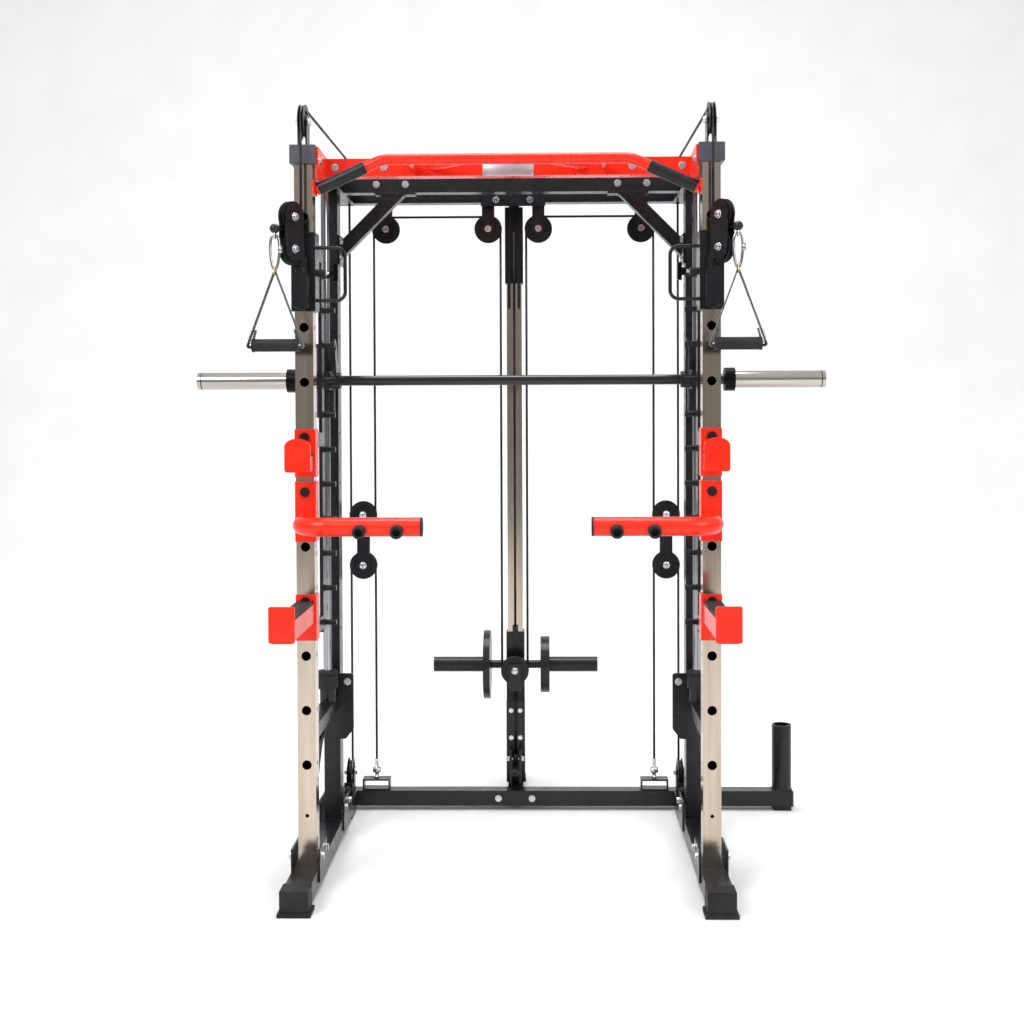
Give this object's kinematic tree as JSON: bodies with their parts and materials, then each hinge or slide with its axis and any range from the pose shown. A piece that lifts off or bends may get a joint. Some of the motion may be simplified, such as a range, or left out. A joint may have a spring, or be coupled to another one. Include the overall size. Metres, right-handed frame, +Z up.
{
  "type": "smith machine",
  "caption": "Plate-loaded smith machine and half rack with adjustable cable trolleys, a rear cable tower, pull-up bar and red rack attachments.",
  "frame": {"origin": "centre of the bounding box's footprint, on the floor", "axes": "+X to the user's right when facing the machine, +Y to the rear, +Z up"},
  "size_m": [1.85, 1.476, 2.149],
  "materials": {
    "black_coat": "black powder coat, fine orange peel",
    "cable_jacket": "black plastic jacket over steel cable",
    "chrome": "polished chrome",
    "grip_rubber": "knurled rubber",
    "pulley_plastic": "moulded nylon",
    "red_coat": "red powder coat, satin",
    "rubber": "moulded black rubber",
    "webbing": "woven dark grey webbing",
    "zinc": "bright zinc plate"
  },
  "bodies": {
    "root": {"attachment_pins": "black_coat", "attachment_trim": "rubber", "base_rails": "black_coat", "carriage_falls": "cable_jacket", "catch_rails": "black_coat", "corner_braces": "black_coat", "dip_handles": "red_coat", "fixed_pulleys": "pulley_plastic", "frame_bolts": "zinc", "frame_cables": "cable_jacket", "front_uprights": "chrome", "header_beam": "red_coat", "j_hooks": "red_coat", "lower_falls": "cable_jacket", "pull_up_bar": "red_coat", "pull_up_grips": "rubber", "pulley_brackets": "black_coat", "rear_base_tube": "black_coat", "rear_uprights": "black_coat", "rod_mounts": "black_coat", "rubber_bumpers": "rubber", "rubber_feet": "rubber", "smith_rods": "chrome", "spotter_arms": "red_coat", "top_beams": "black_coat", "top_crossbars": "black_coat", "tower_brackets": "black_coat", "tower_post": "chrome", "trolley_strand_left": "cable_jacket", "trolley_strand_right": "cable_jacket", "upper_falls": "cable_jacket"},
    "bar": {"bar_hooks": "black_coat", "smith_bar": "black_coat"},
    "sleeve_left": {"bar_sleeve_left": "chrome"},
    "sleeve_right": {"bar_sleeve_right": "chrome"},
    "handle_left": {"carabiner_left": "chrome", "handle_strap_left": "webbing"},
    "handle_right": {"carabiner_right": "chrome", "handle_strap_right": "webbing"},
    "carriage_wheel": {"carriage_pulley": "pulley_plastic"},
    "block_left": {"floating_block_left": "black_coat"},
    "block_right": {"floating_block_right": "black_coat"},
    "grip_left": {"handle_grip_left": "grip_rubber"},
    "grip_right": {"handle_grip_right": "grip_rubber"},
    "weight": {"plate_horns": "black_coat", "weight_carriage": "black_coat"},
    "pin_left": {"pop_pin_left": "zinc"},
    "pin_right": {"pop_pin_right": "zinc"},
    "smith_carriage": {"smith_bearings": "black_coat"},
    "swivel_left": {"swivel_left": "black_coat"},
    "swivel_wheel_left": {"swivel_pulley_left": "pulley_plastic"},
    "swivel_wheel_right": {"swivel_pulley_right": "pulley_plastic"},
    "swivel_right": {"swivel_right": "black_coat"},
    "top_wheel_left": {"top_pulley_left": "pulley_plastic"},
    "top_wheel_right": {"top_pulley_right": "pulley_plastic"},
    "trolley_left": {"trolley_left": "black_coat"},
    "trolley_right": {"trolley_right": "black_coat"}
  },
  "joints": [
    {"name": "smith_slide", "type": "slide", "parent": "root", "child": "smith_carriage", "axis": [0, 0, 1], "range_m": [-0.75, 0.4]},
    {"name": "bar_twist", "type": "hinge", "parent": "smith_carriage", "child": "bar", "pos_m": [0, -0.076, 1.403], "axis": [1, 0, 0], "range_deg": [0, 70]},
    {"name": "sleeve_spin_left", "type": "hinge", "parent": "bar", "child": "sleeve_left", "pos_m": [-0.79, -0.076, 1.403], "axis": [1, 0, 0], "continuous": true},
    {"name": "sleeve_spin_right", "type": "hinge", "parent": "bar", "child": "sleeve_right", "pos_m": [0.79, -0.076, 1.403], "axis": [1, 0, 0], "continuous": true},
    {"name": "trolley_slide_left", "type": "slide", "parent": "root", "child": "trolley_left", "axis": [0, 0, 1], "range_m": [-0.15, 0], "deforming": ["trolley_strand_left"]},
    {"name": "pop_pin_slide_left", "type": "slide", "parent": "trolley_left", "child": "pin_left", "axis": [-1, 0, 0], "range_m": [0, 0.009]},
    {"name": "swivel_turn_left", "type": "hinge", "parent": "trolley_left", "child": "swivel_left", "pos_m": [-0.555, -0.427, 1.65], "axis": [0, 0, 1], "range_deg": [-40, 40]},
    {"name": "swivel_wheel_spin_left", "type": "hinge", "parent": "swivel_left", "child": "swivel_wheel_left", "pos_m": [-0.57535, -0.4579, 1.834], "axis": [-0.8351, 0.5501, 0], "continuous": true},
    {"name": "handle_swing_left", "type": "hinge", "parent": "swivel_left", "child": "handle_left", "pos_m": [-0.61001, -0.51051, 1.797], "axis": [-1, 0, 0], "range_deg": [-8, 75]},
    {"name": "grip_spin_left", "type": "hinge", "parent": "handle_left", "child": "grip_left", "pos_m": [-0.61001, -0.51051, 1.489], "axis": [1, 0, 0], "continuous": true},
    {"name": "trolley_slide_right", "type": "slide", "parent": "root", "child": "trolley_right", "axis": [0, 0, 1], "range_m": [-0.15, 0], "deforming": ["trolley_strand_right"]},
    {"name": "pop_pin_slide_right", "type": "slide", "parent": "trolley_right", "child": "pin_right", "axis": [1, 0, 0], "range_m": [0, 0.009]},
    {"name": "swivel_turn_right", "type": "hinge", "parent": "trolley_right", "child": "swivel_right", "pos_m": [0.555, -0.427, 1.65], "axis": [0, 0, 1], "range_deg": [-40, 40]},
    {"name": "swivel_wheel_spin_right", "type": "hinge", "parent": "swivel_right", "child": "swivel_wheel_right", "pos_m": [0.57535, -0.4579, 1.834], "axis": [-0.8351, -0.5501, 0], "continuous": true},
    {"name": "handle_swing_right", "type": "hinge", "parent": "swivel_right", "child": "handle_right", "pos_m": [0.61001, -0.51051, 1.797], "axis": [-1, 0, 0], "range_deg": [-8, 75]},
    {"name": "grip_spin_right", "type": "hinge", "parent": "handle_right", "child": "grip_right", "pos_m": [0.61001, -0.51051, 1.489], "axis": [1, 0, 0], "continuous": true},
    {"name": "weight_slide", "type": "slide", "parent": "root", "child": "weight", "axis": [0, 0, 1], "range_m": [0, 0.8], "deforming": ["carriage_falls"]},
    {"name": "carriage_wheel_spin", "type": "hinge", "parent": "weight", "child": "carriage_wheel", "pos_m": [0, 0.363, 0.456], "axis": [0, 1, 0], "continuous": true},
    {"name": "block_slide_left", "type": "slide", "parent": "root", "child": "block_left", "axis": [0, 0, 1], "range_m": [-0.4, 0], "deforming": ["upper_falls", "lower_falls"]},
    {"name": "block_slide_right", "type": "slide", "parent": "root", "child": "block_right", "axis": [0, 0, 1], "range_m": [-0.4, 0]},
    {"name": "top_wheel_spin_left", "type": "hinge", "parent": "root", "child": "top_wheel_left", "pos_m": [-0.55404, -0.385, 2.101], "axis": [0.9997, -0.0228, 0], "continuous": true},
    {"name": "top_wheel_spin_right", "type": "hinge", "parent": "root", "child": "top_wheel_right", "pos_m": [0.55404, -0.385, 2.101], "axis": [0.9997, 0.0228, 0], "continuous": true}
  ],
  "couplings": [
    {"joint": "block_slide_left", "follows": "weight_slide", "ratio": -0.5},
    {"joint": "block_slide_right", "follows": "weight_slide", "ratio": -0.5}
  ]
}
